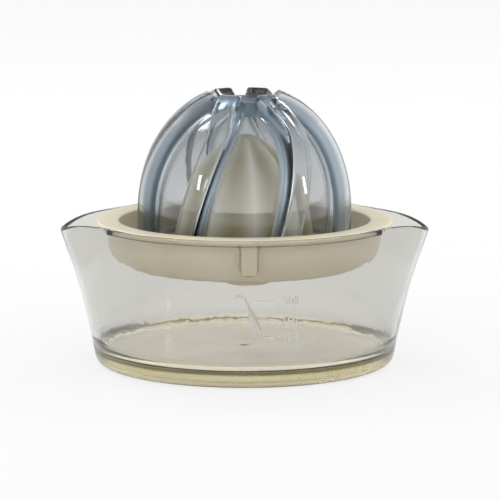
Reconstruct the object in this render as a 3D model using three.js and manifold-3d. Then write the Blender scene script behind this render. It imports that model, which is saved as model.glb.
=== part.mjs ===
// Hand citrus juicer: a clear jug with two spouts, a strainer dish with a small
// reamer cone, and a clear large reamer that drops over the cone.
// Millimetres, +Z up. The origin is the centre of the jug's underside, +X runs
// through a spout, and -Y is the front, where the volume scale is.

import * as THREE from 'three';
import { mergeVertices } from 'three/addons/utils/BufferGeometryUtils.js';
import Module from 'manifold-3d';

const wasm = await Module();
wasm.setup();

const DEG = Math.PI / 180;

// Fit between the pieces, and how far joined or cut solids run into or past each other
const CLEARANCE = 0.3;
const OVERLAP = 1;
const SLIGHT_OVERLAP = 0.5;

// Jug
const JUG_HEIGHT = 50.5;
const JUG_BASE_RADIUS = 52;
const JUG_RIM_RADIUS = 52.8;
const JUG_WALL = 2.2;
const JUG_FLOOR = 5.8;
const JUG_CORNER = 4.5;
const JUG_INNER_CORNER = 3;
const JUG_LEVELS = [16, 26, 34, 42];
const JUG_SEGMENTS = 96;
const SEAT_DEPTH = 2.1;
const SEAT_RADIUS = 51.9;

// Spouts: how far they reach out, where they start, and how their tips dip. Shares of the base
// radius bound the wall that moves, and the dip fades in over the top part of the height.
const SPOUT_REACH = 11.6;
const SPOUT_HALF_ANGLE = 36;
const SPOUT_TIP_ROUNDING = 3.5;
const SPOUT_PLAN_POWER = 1.7;
const SPOUT_SIDE_POWER = 1.2;
const SPOUT_DIP = 3.4;
const SPOUT_DIP_POWER = 2.6;
const SPOUT_DIP_START = 0.55;
const SPOUT_WALL_START = 0.8;
const SPOUT_WALL_FULL = 0.9;

// Strainer dish
const FLANGE_RADIUS = SEAT_RADIUS - CLEARANCE;
const FLANGE_THICKNESS = SEAT_DEPTH - CLEARANCE;
const FLANGE_EDGE = 0.5;
const BOWL_RADIUS = 46.7;
const BOWL_WALL = 2.9;
const BOWL_CORNER = 10;
const BOWL_DEPTH = 16.3;
const BOWL_SEGMENTS = 72;

// Locating key under the flange, and the two guide ribs beside it on the jug's wall
const KEY_ANGLE = 1.9;
const KEY_WIDTH = 6.4;
const KEY_DEPTH = 12.6;
const KEY_REACH = 50;
const KEY_TOP_DEPTH = 0.6;
const GUIDE_THICKNESS = 1.2;
const GUIDE_REACH = 48.2;
const GUIDE_ROOT = 51.5;
const GUIDE_BOTTOM = 36;

// Low round feet and the drain slots between them
const FOOT_COUNT = 3;
const FOOT_RADIUS = 7.6;
const FOOT_CIRCLE = 31.5;
const FOOT_DROP = 0.9;
const FOOT_SEGMENTS = 24;
const SLOTS_PER_GROUP = 5;
const SLOT_SPACING = 20;
const SLOT_WIDTH = 2;
const SLOT_INNER = 27.5;
const SLOT_OUTER = 40.5;
const SLOT_CUT_RISE = 4;
const SLOT_CUT_DROP = 2;

// Small reamer cone: crest radius against height above the underside of the jug
const CONE_CRESTS = 9;
const CONE_CREST_ANGLE = 9.6;
const CONE_FLUTE_DEPTH = 2.2;
const CONE_FLUTE_FULL_RADIUS = 14;
const CONE_WALL = 2.2;
const CONE_SEGMENTS = 72;
const CONE_HOLLOW_SEGMENTS = 36;
const CONE_PROFILE = [
  [5.5, 78.6], [10.7, 74.8], [15.5, 70.5], [19, 66], [21, 61], [22.4, 55], [23.6, 48], [24.6, 40],
];
const CONE_APEX = 80.2;

// Large reamer
const REAMER_TOP = 97.5;
const REAMER_WIDEST = 53;
const REAMER_RADIUS = 37.3;
const REAMER_CURVE = 2.1;
const REAMER_SEGMENTS = 48;
const VALLEY_STATIONS = 9;
const CAVITY_STATIONS = 8;
const FIN_COUNT = 6;
const FIN_THICKNESS = 8;
const FIN_STATIONS = 14;
const FIN_ROOT_DEPTH = 0.6;
const VALLEY_RADIUS = 31.2;
const VALLEY_TOP = 91.5;
const REAMER_WALL = 1.6;
const REAMER_RING = 5.5;
const SWIRL_PER_MM = 0.45;
const SWIRL_LEVEL = 58.5;
// Towards the crown the fins turn back a little.
const SWIRL_RETURN = 8.4;
const SWIRL_RETURN_START = 82;
const SWIRL_RETURN_END = 96;
const HUB_RADIUS = 13.4;
const HUB_SHOULDER_RADIUS = 12.8;
const HUB_BOTTOM = 86.6;
const HUB_SHOULDER = 92.4;
const HUB_SEGMENTS = 36;
const RECESS_FLOOR = 92.4;
const RECESS_FLOOR_RADIUS = 11;
const RECESS_MOUTH = 98.4;
const RECESS_MOUTH_RADIUS = 14.4;
const RECESS_SEGMENTS = 24;

// Lugs on the dish floor that stop the large reamer turning
const LUG_COUNT = 3;
const LUG_WIDTH = 5;
const LUG_HEIGHT = 3;
const LUG_INNER = 31;
const LUG_OUTER = 35;
const NOTCH_INNER = 27;

// --- helpers -------------------------------------------------------------

// A closed geometry becomes a solid that can be joined and cut.
function solid(geometry) {
  const bare = geometry.clone();
  bare.deleteAttribute('normal');
  bare.deleteAttribute('uv');
  const merged = mergeVertices(bare, 1e-4);
  const mesh = new wasm.Mesh({
    numProp: 3,
    vertProperties: new Float32Array(merged.attributes.position.array),
    triVerts: new Uint32Array(merged.index.array),
  });
  mesh.merge();
  return new wasm.Manifold(mesh);
}

function geometryOf(manifold) {
  const { vertProperties, triVerts } = manifold.getMesh();
  const geometry = new THREE.BufferGeometry();
  geometry.setAttribute('position', new THREE.BufferAttribute(new Float32Array(vertProperties), 3));
  geometry.setIndex(new THREE.BufferAttribute(new Uint32Array(triVerts), 1));
  geometry.computeVertexNormals();
  return geometry;
}

// Turns a [radius, height] outline about the Z axis.
function turned(outline, segments) {
  const points = outline.map(([radius, height]) => new THREE.Vector2(radius, height));
  const geometry = new THREE.LatheGeometry(points, segments);
  geometry.rotateX(Math.PI / 2);
  return geometry;
}

// Moves every vertex by a rule that takes and returns { radius, angle, height }.
function reshaped(geometry, rule) {
  const position = geometry.attributes.position;
  for (let i = 0; i < position.count; i += 1) {
    const x = position.getX(i);
    const y = position.getY(i);
    const place = { radius: Math.hypot(x, y), angle: Math.atan2(y, x), height: position.getZ(i) };
    const { radius, angle, height } = rule(place);
    position.setXYZ(i, radius * Math.cos(angle), radius * Math.sin(angle), height);
  }
  return geometry;
}

// A quarter round from angle a to angle b, in degrees, as outline points.
function arc(centreRadius, centreHeight, size, a, b, steps) {
  return Array.from({ length: steps + 1 }, (_, i) => {
    const t = (a + ((b - a) * i) / steps) * DEG;
    return [centreRadius + size * Math.cos(t), centreHeight + size * Math.sin(t)];
  });
}

// An upright round bar or cone between two heights.
function upright(topRadius, bottomRadius, bottom, top, segments) {
  const geometry = new THREE.CylinderGeometry(topRadius, bottomRadius, top - bottom, segments);
  geometry.rotateX(Math.PI / 2);
  geometry.translate(0, 0, (bottom + top) / 2);
  return geometry;
}

// An upright box that spans two radii, at a bearing measured from the front towards +X,
// and shifted sideways from that bearing.
function radialBox(inner, outer, width, bottom, top, bearing, sideways = 0) {
  const geometry = new THREE.BoxGeometry(outer - inner, width, top - bottom);
  geometry.translate((inner + outer) / 2, sideways, (bottom + top) / 2);
  geometry.rotateZ((bearing - 90) * DEG);
  return geometry;
}

// A bearing from the front towards +X, as an angle about +Z from +X.
const bearingToAngle = (bearing) => (bearing - 90) * DEG;

// --- jug -----------------------------------------------------------------

// 1 at a spout's centre line, 0 from its half angle outwards.
function spoutShare(angle) {
  const fromX = Math.acos(Math.min(1, Math.abs(Math.cos(angle)))) / DEG;
  const soften = (a) => Math.hypot(a, SPOUT_TIP_ROUNDING) - SPOUT_TIP_ROUNDING;
  const share = 1 - soften(fromX) / soften(SPOUT_HALF_ANGLE);
  return Math.max(0, share) ** SPOUT_PLAN_POWER;
}

const jugRadius = (height) =>
  JUG_BASE_RADIUS + ((JUG_RIM_RADIUS - JUG_BASE_RADIUS) * height) / JUG_HEIGHT;

function pinchedIntoSpouts({ radius, angle, height }) {
  const share = spoutShare(angle);
  const rise = Math.max(0, height) / JUG_HEIGHT;
  const nearWall = THREE.MathUtils.smoothstep(
    radius / JUG_BASE_RADIUS, SPOUT_WALL_START, SPOUT_WALL_FULL,
  );
  const nearRim = THREE.MathUtils.smoothstep(rise, SPOUT_DIP_START, 1);
  return {
    radius: radius + SPOUT_REACH * share * rise ** SPOUT_SIDE_POWER * nearWall,
    angle,
    height: height - SPOUT_DIP * share ** SPOUT_DIP_POWER * nearRim,
  };
}

function makeJug() {
  const outer = JUG_LEVELS.map((height) => [jugRadius(height), height]);
  const inner = JUG_LEVELS.map((height) => [jugRadius(height) - JUG_WALL, height]).reverse();
  const outline = [
    [0, 0],
    ...arc(JUG_BASE_RADIUS - JUG_CORNER, JUG_CORNER, JUG_CORNER, -90, 0, 4),
    ...outer,
    [JUG_RIM_RADIUS, JUG_HEIGHT],
    [JUG_RIM_RADIUS - JUG_WALL, JUG_HEIGHT],
    ...inner,
    ...arc(
      JUG_BASE_RADIUS - JUG_WALL - JUG_INNER_CORNER, JUG_FLOOR + JUG_INNER_CORNER,
      JUG_INNER_CORNER, 0, -90, 3,
    ),
    [0, JUG_FLOOR],
  ];
  let jug = solid(reshaped(turned(outline, JUG_SEGMENTS), pinchedIntoSpouts));

  const seatFloor = JUG_HEIGHT - SEAT_DEPTH;
  const offset = KEY_WIDTH / 2 + CLEARANCE + GUIDE_THICKNESS / 2;
  for (const side of [-1, 1]) {
    const guide = radialBox(
      GUIDE_REACH, GUIDE_ROOT, GUIDE_THICKNESS, GUIDE_BOTTOM, seatFloor, KEY_ANGLE, side * offset,
    );
    jug = jug.add(solid(guide));
  }
  const seat = upright(SEAT_RADIUS, SEAT_RADIUS, seatFloor, JUG_HEIGHT + OVERLAP, JUG_SEGMENTS);
  return geometryOf(jug.subtract(solid(seat)));
}

// --- strainer ------------------------------------------------------------

const BOWL_BOTTOM = JUG_HEIGHT - BOWL_DEPTH;
const BOWL_FLOOR = BOWL_BOTTOM + BOWL_WALL;
const FLANGE_BOTTOM = JUG_HEIGHT - FLANGE_THICKNESS;

function bowlOutline() {
  const centreRadius = BOWL_RADIUS - BOWL_CORNER;
  const centreHeight = BOWL_BOTTOM + BOWL_CORNER;
  return [
    [0, BOWL_BOTTOM],
    ...arc(centreRadius, centreHeight, BOWL_CORNER, -90, 0, 6),
    [BOWL_RADIUS, FLANGE_BOTTOM],
    [FLANGE_RADIUS, FLANGE_BOTTOM],
    [FLANGE_RADIUS, JUG_HEIGHT - FLANGE_EDGE],
    [FLANGE_RADIUS - FLANGE_EDGE, JUG_HEIGHT],
    [BOWL_RADIUS - BOWL_WALL + FLANGE_EDGE, JUG_HEIGHT],
    [BOWL_RADIUS - BOWL_WALL, JUG_HEIGHT - FLANGE_EDGE],
    ...arc(centreRadius, centreHeight, BOWL_CORNER - BOWL_WALL, 0, -90, 4),
    [0, BOWL_FLOOR],
  ];
}

// Crests stay on the outline and flutes sink between them.
function fluted({ radius, angle, height }) {
  const phase = CONE_CRESTS * (angle - bearingToAngle(CONE_CREST_ANGLE));
  const sink = CONE_FLUTE_DEPTH * (0.5 - 0.5 * Math.cos(phase));
  const depth = sink * Math.min(1, radius / CONE_FLUTE_FULL_RADIUS);
  return { radius: Math.max(0, radius - depth), angle, height };
}

function coneOutline(base, shrink) {
  const points = CONE_PROFILE.map(([radius, height]) => [radius - shrink, height - shrink / 2]);
  const last = CONE_PROFILE[CONE_PROFILE.length - 1][0] - shrink;
  return [[0, CONE_APEX - shrink], ...points.filter(([radius]) => radius > 1), [last, base], [0, base]];
}

function makeStrainer() {
  let strainer = solid(turned(bowlOutline(), BOWL_SEGMENTS));

  const coneShape = coneOutline(BOWL_BOTTOM + SLIGHT_OVERLAP, 0).reverse();
  strainer = strainer.add(solid(reshaped(turned(coneShape, CONE_SEGMENTS), fluted)));

  const hollowShape = coneOutline(BOWL_BOTTOM - OVERLAP, CONE_WALL + CONE_FLUTE_DEPTH).reverse();
  strainer = strainer.subtract(solid(turned(hollowShape, CONE_HOLLOW_SEGMENTS)));

  const key = radialBox(
    BOWL_RADIUS - BOWL_WALL + SLIGHT_OVERLAP, KEY_REACH, KEY_WIDTH, JUG_HEIGHT - KEY_DEPTH,
    JUG_HEIGHT - KEY_TOP_DEPTH, KEY_ANGLE,
  );
  strainer = strainer.add(solid(key));

  for (let foot = 0; foot < FOOT_COUNT; foot += 1) {
    const bearing = KEY_ANGLE + (360 / FOOT_COUNT) * foot;
    const pad = upright(
      FOOT_RADIUS, FOOT_RADIUS - FOOT_DROP, BOWL_BOTTOM - FOOT_DROP, BOWL_BOTTOM + OVERLAP,
      FOOT_SEGMENTS,
    );
    pad.translate(FOOT_CIRCLE, 0, 0);
    pad.rotateZ(bearingToAngle(bearing));
    strainer = strainer.add(solid(pad));

    const middle = (SLOTS_PER_GROUP - 1) / 2;
    for (let slot = 0; slot < SLOTS_PER_GROUP; slot += 1) {
      const slotBearing = bearing + 180 / FOOT_COUNT + SLOT_SPACING * (slot - middle);
      const cut = radialBox(
        SLOT_INNER, SLOT_OUTER, SLOT_WIDTH, BOWL_BOTTOM - SLOT_CUT_DROP,
        BOWL_FLOOR + SLOT_CUT_RISE, slotBearing,
      );
      strainer = strainer.subtract(solid(cut));
    }
  }

  for (let lug = 0; lug < LUG_COUNT; lug += 1) {
    const bearing = KEY_ANGLE + (360 / LUG_COUNT) * lug;
    const block = radialBox(
      LUG_INNER, LUG_OUTER, LUG_WIDTH, BOWL_FLOOR - OVERLAP, BOWL_FLOOR + LUG_HEIGHT, bearing,
    );
    strainer = strainer.add(solid(block));
  }
  return geometryOf(strainer);
}

// --- large reamer --------------------------------------------------------

const REAMER_BOTTOM = BOWL_FLOOR + CLEARANCE;

// Radius at a height of a dome with a given widest radius and top.
function domeRadius(widest, top, height) {
  const rise = Math.max(0, height - REAMER_WIDEST) / (top - REAMER_WIDEST);
  return widest * Math.max(0, 1 - rise ** REAMER_CURVE) ** (1 / REAMER_CURVE);
}

// Heights from the bottom to near the top, closer together towards the top.
function domeHeights(top, bottom, steps) {
  const upper = Array.from({ length: steps + 1 }, (_, i) => {
    const t = (i / steps) * 90 * DEG;
    return REAMER_WIDEST + (top - REAMER_WIDEST) * Math.sin(t);
  });
  return [bottom, (bottom + REAMER_WIDEST) / 2, ...upper.slice(0, -1)];
}

function domeOutline(widest, top, bottom, steps) {
  const side = domeHeights(top, bottom, steps).map((height) => [domeRadius(widest, top, height), height]);
  return [[0, bottom], ...side, [0, top]];
}

// Turns each level about the axis, so that the fins swirl.
const swirl = (height) => SWIRL_PER_MM * (height - SWIRL_LEVEL)
  - SWIRL_RETURN * THREE.MathUtils.smoothstep(height, SWIRL_RETURN_START, SWIRL_RETURN_END);
const swirled = ({ radius, angle, height }) => ({
  radius, angle: angle + swirl(height) * DEG, height,
});

function finGeometry() {
  const heights = domeHeights(REAMER_TOP, REAMER_BOTTOM + OVERLAP, FIN_STATIONS);
  const rootTop = VALLEY_TOP - OVERLAP;
  const outer = heights.map((height) => [domeRadius(REAMER_RADIUS, REAMER_TOP, height), height]);
  const inner = heights
    .filter((height) => height < rootTop)
    .map((height) => [
      domeRadius(VALLEY_RADIUS - FIN_ROOT_DEPTH, VALLEY_TOP - FIN_ROOT_DEPTH, height), height,
    ])
    .reverse();
  const shape = new THREE.Shape(
    [...outer, [0, REAMER_TOP], [0, rootTop], ...inner].map(([r, z]) => new THREE.Vector2(r, z)),
  );
  const fin = new THREE.ExtrudeGeometry(shape, {
    depth: FIN_THICKNESS, bevelEnabled: false, steps: 1,
  });
  fin.translate(0, 0, -FIN_THICKNESS / 2);
  fin.rotateX(Math.PI / 2);
  return fin;
}

function makeLargeReamer() {
  const valleys = domeOutline(VALLEY_RADIUS, VALLEY_TOP, REAMER_BOTTOM, VALLEY_STATIONS);
  let reamer = solid(turned(valleys, REAMER_SEGMENTS));

  for (let fin = 0; fin < FIN_COUNT; fin += 1) {
    const blade = finGeometry();
    blade.rotateZ(bearingToAngle((360 / FIN_COUNT) * (fin + 0.5)));
    reamer = reamer.add(solid(reshaped(blade, swirled)));
  }

  const ringTop = REAMER_BOTTOM + REAMER_RING;
  reamer = reamer.add(
    solid(upright(REAMER_RADIUS, REAMER_RADIUS, REAMER_BOTTOM, ringTop, REAMER_SEGMENTS)),
  );
  const hub = upright(HUB_SHOULDER_RADIUS, HUB_RADIUS, HUB_BOTTOM, HUB_SHOULDER, HUB_SEGMENTS);
  reamer = reamer.add(solid(hub));
  const recess = upright(
    RECESS_MOUTH_RADIUS, RECESS_FLOOR_RADIUS, RECESS_FLOOR, RECESS_MOUTH, RECESS_SEGMENTS,
  );
  reamer = reamer.subtract(solid(recess));

  const cavity = domeOutline(
    VALLEY_RADIUS - REAMER_WALL, VALLEY_TOP - REAMER_WALL, REAMER_BOTTOM - OVERLAP,
    CAVITY_STATIONS,
  );
  reamer = reamer.subtract(solid(turned(cavity, REAMER_SEGMENTS)));

  for (let lug = 0; lug < LUG_COUNT; lug += 1) {
    const bearing = KEY_ANGLE + (360 / LUG_COUNT) * lug;
    const notch = radialBox(
      NOTCH_INNER, LUG_OUTER + CLEARANCE, LUG_WIDTH + 2 * CLEARANCE, REAMER_BOTTOM - OVERLAP,
      BOWL_FLOOR + LUG_HEIGHT + CLEARANCE, bearing,
    );
    reamer = reamer.subtract(solid(notch));
  }
  return geometryOf(reamer);
}

// --- assembly ------------------------------------------------------------

const clearPlastic = new THREE.MeshStandardMaterial({
  name: 'jug_clear', color: 0xe6e4d6, roughness: 0.08, metalness: 0, transparent: true, opacity: 0.35,
});
const ivoryPlastic = new THREE.MeshStandardMaterial({
  name: 'strainer_ivory', color: 0xe2dabd, roughness: 0.35, metalness: 0,
});
const bluePlastic = new THREE.MeshStandardMaterial({
  name: 'reamer_clear', color: 0xc3d2df, roughness: 0.05, metalness: 0, transparent: true, opacity: 0.4,
});

function piece(name, geometry, material) {
  const mesh = new THREE.Mesh(geometry, material);
  mesh.name = name;
  return mesh;
}

const juicer = new THREE.Group();
juicer.name = 'citrus_juicer';
juicer.add(
  piece('jug', makeJug(), clearPlastic),
  piece('strainer', makeStrainer(), ivoryPlastic),
  piece('large_reamer', makeLargeReamer(), bluePlastic),
);

export default juicer;
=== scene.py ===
import math

import bpy
from bpy.props import FloatProperty, FloatVectorProperty, IntProperty, PointerProperty
from mathutils import Matrix, Vector


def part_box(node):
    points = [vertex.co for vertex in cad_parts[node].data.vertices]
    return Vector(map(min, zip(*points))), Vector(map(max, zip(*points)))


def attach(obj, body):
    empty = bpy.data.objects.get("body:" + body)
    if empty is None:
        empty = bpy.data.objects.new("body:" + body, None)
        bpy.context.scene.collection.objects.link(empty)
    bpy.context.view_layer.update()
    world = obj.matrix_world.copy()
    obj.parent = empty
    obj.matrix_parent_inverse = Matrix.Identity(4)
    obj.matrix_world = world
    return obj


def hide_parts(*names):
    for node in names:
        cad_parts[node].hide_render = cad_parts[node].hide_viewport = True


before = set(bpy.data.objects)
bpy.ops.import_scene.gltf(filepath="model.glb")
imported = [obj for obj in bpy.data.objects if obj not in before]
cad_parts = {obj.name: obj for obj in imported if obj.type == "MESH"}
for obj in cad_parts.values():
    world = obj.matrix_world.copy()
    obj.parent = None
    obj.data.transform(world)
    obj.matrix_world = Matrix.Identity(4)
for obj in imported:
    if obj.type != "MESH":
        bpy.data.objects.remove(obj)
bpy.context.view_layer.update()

bl_info = {
    "name": "Hand citrus juicer",
    "version": (1, 0, 0),
    "blender": (4, 5, 0),
    "location": "View3D > Sidebar > Juicer",
    "description": "Models a clear jug, a strainer dish with a small cone and a large clear reamer",
    "category": "Object",
}

# Shapes below are worked out in millimetres and placed in metres.
MM = 0.001
FULL_TURN = 2 * math.pi
TINY = 1e-6

# The gap between pieces that fit in each other
FIT = 0.3

# The strainer's key, which the jug's guide ribs hold; bearings are degrees from the front
KEY_BEARING = 1.9
KEY_WIDTH = 6.4
KEY_ROOT = 45.0
KEY_REACH = 50.0
KEY_FOOT = 37.9
KEY_ROUNDING = 0.45
KEY_INSET = 0.4
# Painted shade on the key: a little on its face, more along its edges
KEY_FACE_SHADE = 0.25
KEY_EDGE_SHADE = 0.8

# The lugs on the strainer's floor, and the notches in the large reamer's foot that take them
LUG_COUNT = 3
LUG_SPAN = (31, 35)
LUG_WIDTH = 5
LUG_RISE = 3
NOTCH_SPAN = (27, 35.3)

_, jug_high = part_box("jug")
_, strainer_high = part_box("strainer")
reamer_low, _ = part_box("large_reamer")


# --- settings that a user would change ----------------------------------------------------------


def length(name, description, default):
    """A length property in metres."""
    return FloatProperty(name=name, description=description, default=default, subtype="DISTANCE",
                         unit="LENGTH", precision=4)


def angle(name, description, degrees):
    """An angle property, kept in radians."""
    return FloatProperty(name=name, description=description, default=math.radians(degrees),
                         subtype="ANGLE", unit="ROTATION")


def colour(name, description, default):
    """A colour property."""
    return FloatVectorProperty(name=name, description=description, default=default,
                               subtype="COLOR", size=3, min=0, max=1)


class JUICER_PG_jug(bpy.types.PropertyGroup):
    height: length("Height", "Height of the rim above the table", jug_high.z)
    base_radius: length("Base radius", "Radius of the foot of the wall", 0.052)
    rim_radius: length("Rim radius", "Radius of the rim away from the spouts", jug_high.y)
    wall: length("Wall", "Thickness of the side wall", 0.0022)
    floor: length("Floor", "Thickness of the solid base", 0.0058)
    seat_radius: length("Seat radius", "Radius of the step that the strainer rests in", 0.0519)
    seat_depth: length("Seat depth", "Depth of that step", 0.0021)
    spout_reach: length("Spout reach", "How far a spout stands out", jug_high.x - jug_high.y)
    spout_dip: length("Spout dip", "How far a spout's tip lies under the rim", 0.0034)
    spout_half_angle: angle("Spout half angle", "Half the part of the rim that a spout takes", 36)


class JUICER_PG_strainer(bpy.types.PropertyGroup):
    flange_radius: length("Flange radius", "Radius of the dish's rim", strainer_high.x)
    bowl_radius: length("Bowl radius", "Outer radius of the dish", 0.0467)
    wall: length("Wall", "Thickness of the dish", 0.0029)
    depth: length("Depth", "Depth of the dish under the rim", 0.0163)
    cone_top: length("Cone top", "Height of the small cone's tip", strainer_high.z)
    crests: IntProperty(name="Crests", description="Ridges on the small cone", default=9, min=3)
    flute_depth: length("Flute depth", "How far the flutes sink between the ridges", 0.003)


class JUICER_PG_reamer(bpy.types.PropertyGroup):
    radius: length("Radius", "Radius over the fins", 0.0373)
    valley_radius: length("Valley radius", "Radius between the fins", 0.0312)
    wall: length("Wall", "Thickness between the fins", 0.0016)
    fin_count: IntProperty(name="Fins", description="Fins round the dome", default=6, min=3)
    fin_thickness: length("Fin thickness", "Thickness of each fin", 0.008)
    swirl: FloatProperty(name="Swirl", description="Degrees of turn for each millimetre of height",
                         default=0.45, min=-2, max=2)


class JUICER_PG_finishes(bpy.types.PropertyGroup):
    jug_tint: colour("Jug", "Clear plastic of the jug's wall", (0.765, 0.76, 0.738))
    base_tint: colour("Base", "Clear plastic of the jug's thick base", (0.88, 0.83, 0.62))
    floor_tint: colour("Floor", "Clear plastic of the jug's floor", (0.98, 0.92, 0.79))
    # Painted shade: a dark olive line round the base's upper edge, where light bending in the thick
    # base darkens the wall
    painted_base_shade: colour("Base's upper edge", "Olive line round the base", (0.10, 0.075, 0.02))
    strainer: colour("Strainer", "Ivory plastic", (0.94, 0.875, 0.71))
    # Painted shade: the colour put in the cone's flutes and along the key's edges; it also darkens
    # the dish and tints the ivory's random mottle
    strainer_shade_and_mottle: colour("Strainer hollows", "Ivory plastic in its hollows", (0.38, 0.30, 0.12))
    reamer_tint: colour("Large reamer", "Pale blue clear plastic", (0.66, 0.675, 0.685))
    # Deeper tint of the thick plastic together with painted shade for the dark look that internal
    # reflection gives the fins' sides, roots and hub
    reamer_deep_tint_and_shade: colour("Large reamer depth", "Colour of its thick parts", (0.115, 0.185, 0.25))


class JUICER_PG_stage(bpy.types.PropertyGroup):
    distance: length("Camera distance", "Camera's distance in front of the jug", 1.151)
    camera_height: length("Camera height", "Camera's height above the table", 0.2216)
    sideways: length("Camera sideways", "Camera's place to the right", 0.0019)
    pitch: angle("Camera pitch", "How far the camera looks down", 9.0)
    lens: FloatProperty(name="Lens", description="Focal length in millimetres", default=240, min=1)
    floor_size: length("Floor size", "Length of the floor's side", 6.0)


GROUPS = {
    "juicer_jug": JUICER_PG_jug,
    "juicer_strainer": JUICER_PG_strainer,
    "juicer_reamer": JUICER_PG_reamer,
    "juicer_finishes": JUICER_PG_finishes,
    "juicer_stage": JUICER_PG_stage,
}


# --- modelling: a ring, extruded and shaped ------------------------------------------------------


def deselect_all():
    """Leaves nothing selected, in object mode."""
    if bpy.context.object and bpy.context.object.mode != "OBJECT":
        bpy.ops.object.mode_set(mode="OBJECT")
    bpy.ops.object.select_all(action="DESELECT")


def choose(piece):
    """Makes a piece the only selected and the active one."""
    deselect_all()
    piece.select_set(True)
    bpy.context.view_layer.objects.active = piece


def name_new(name):
    """Names the object that was just added, and puts its place into its mesh."""
    piece = bpy.context.object
    piece.name = name
    piece.data.name = name
    bpy.ops.object.transform_apply(location=True, rotation=True, scale=True)
    return piece


def sleeve(name, columns, rings):
    """An open sleeve of rings, one unit apart, that shape() then gives its form."""
    deselect_all()
    bpy.ops.mesh.primitive_circle_add(vertices=columns, radius=1, fill_type="NOTHING")
    piece = name_new(name)
    bpy.ops.object.mode_set(mode="EDIT")
    bpy.ops.mesh.select_all(action="SELECT")
    for _ in range(rings - 1):
        bpy.ops.mesh.extrude_edges_move(TRANSFORM_OT_translate={"value": (0, 0, 1)})
    bpy.ops.object.mode_set(mode="OBJECT")
    return piece


def shape(piece, columns, place):
    """Puts each point of a sleeve at place(ring, column): x, y and z in millimetres, and a share
    from 0 to 1, kept as the depth attribute, for the painted shade in hollows and the deeper tint
    with painted shade in thick plastic."""
    depth = piece.data.attributes.new("depth", "FLOAT", "POINT")
    for vertex in piece.data.vertices:
        turn = math.atan2(vertex.co.y, vertex.co.x) / FULL_TURN
        column = round(turn * columns) % columns
        *where, share = place(round(vertex.co.z), column)
        vertex.co = Vector(where) * MM
        depth.data[vertex.index].value = share


def close_up(piece):
    """Joins points that lie together, such as a pole's, and turns all faces outwards."""
    choose(piece)
    bpy.ops.object.mode_set(mode="EDIT")
    bpy.ops.mesh.select_all(action="SELECT")
    bpy.ops.mesh.remove_doubles(threshold=5e-7)
    bpy.ops.mesh.normals_make_consistent(inside=False)
    bpy.ops.object.mode_set(mode="OBJECT")


def smooth(piece, degrees=35):
    """Smooth shading, with edges sharper than this angle kept."""
    choose(piece)
    bpy.ops.object.shade_smooth_by_angle(angle=math.radians(degrees))


def combine(piece, tool, operation):
    """Joins a tool to a piece or cuts it out, and removes the tool."""
    choose(piece)
    modifier = piece.modifiers.new(operation.lower(), "BOOLEAN")
    modifier.operation = operation
    modifier.solver = "EXACT"
    modifier.object = tool
    bpy.ops.object.modifier_apply(modifier=modifier.name)
    bpy.data.objects.remove(tool, do_unlink=True)


def depths_by_place(piece):
    """The depth at each point of a piece, by where the point is."""
    depth = piece.data.attributes["depth"].data
    return {vertex.co.copy().freeze(): depth[vertex.index].value for vertex in piece.data.vertices}


def set_depths(piece, known, depth_of_new):
    """Sets the depth again after a boolean: the known one, or depth_of_new(place) elsewhere."""
    depth = piece.data.attributes["depth"].data
    for vertex in piece.data.vertices:
        where = vertex.co.copy().freeze()
        depth[vertex.index].value = known[where] if where in known else depth_of_new(where)


def join(pieces):
    """Makes one object of several."""
    deselect_all()
    for piece in pieces:
        piece.select_set(True)
    bpy.context.view_layer.objects.active = pieces[0]
    bpy.ops.object.join()
    return pieces[0]


def plate(name, outline, depth):
    """A flat plate with this outline, in millimetres, and this depth along its local Z."""
    deselect_all()
    bpy.ops.mesh.primitive_circle_add(vertices=len(outline), radius=1, fill_type="NOTHING")
    piece = name_new(name)
    for vertex in piece.data.vertices:
        turn = math.atan2(vertex.co.y, vertex.co.x) / FULL_TURN
        x, y = outline[round(turn * len(outline)) % len(outline)]
        vertex.co = Vector((x, y, 0)) * MM
    bpy.ops.object.mode_set(mode="EDIT")
    bpy.ops.mesh.select_all(action="SELECT")
    bpy.ops.mesh.edge_face_add()
    bpy.ops.mesh.extrude_region_move(TRANSFORM_OT_translate={"value": (0, 0, depth * MM)})
    bpy.ops.mesh.select_all(action="SELECT")
    bpy.ops.mesh.normals_make_consistent(inside=False)
    bpy.ops.object.mode_set(mode="OBJECT")
    return piece


def round_edges(piece, size, steps):
    """Rounds the sharp edges of a plate or block."""
    choose(piece)
    modifier = piece.modifiers.new("rounding", "BEVEL")
    modifier.width = size * MM
    modifier.segments = steps
    modifier.limit_method = "ANGLE"
    modifier.angle_limit = math.radians(40)
    bpy.ops.object.modifier_apply(modifier=modifier.name)


def arc(x, y, size, start, end, steps):
    """Points of an arc from one angle to another, in degrees."""
    angles = [math.radians(start + (end - start) * i / steps) for i in range(steps + 1)]
    return [(x + size * math.cos(a), y + size * math.sin(a)) for a in angles]


def smoothstep(value, low, high):
    """0 below low, 1 above high, and a smooth rise between them."""
    t = min(1.0, max(0.0, (value - low) / (high - low)))
    return t * t * (3 - 2 * t)


def bearing_to_angle(bearing):
    """A bearing from the front towards the right, as an angle from +X."""
    return math.radians(bearing - 90)


def at_bearing(piece, bearing):
    """Turns a piece that lies along +X to a bearing, and puts that into its mesh."""
    choose(piece)
    piece.rotation_euler.z = bearing_to_angle(bearing)
    bpy.ops.object.transform_apply(location=True, rotation=True, scale=True)


def radial_block(name, inner, outer, width, bottom, top, bearing, sideways=0.0, rounding=0.0):
    """A block that spans two radii at a bearing, in millimetres."""
    deselect_all()
    middle = Vector(((inner + outer) / 2, sideways, (bottom + top) / 2)) * MM
    bpy.ops.mesh.primitive_cube_add(size=1, location=middle)
    bpy.context.object.scale = Vector((outer - inner, width, top - bottom)) * MM
    piece = name_new(name)
    if rounding:
        round_edges(piece, rounding, 3)
    at_bearing(piece, bearing)
    return piece


# --- materials: shader maths as Python expressions -----------------------------------------------


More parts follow.
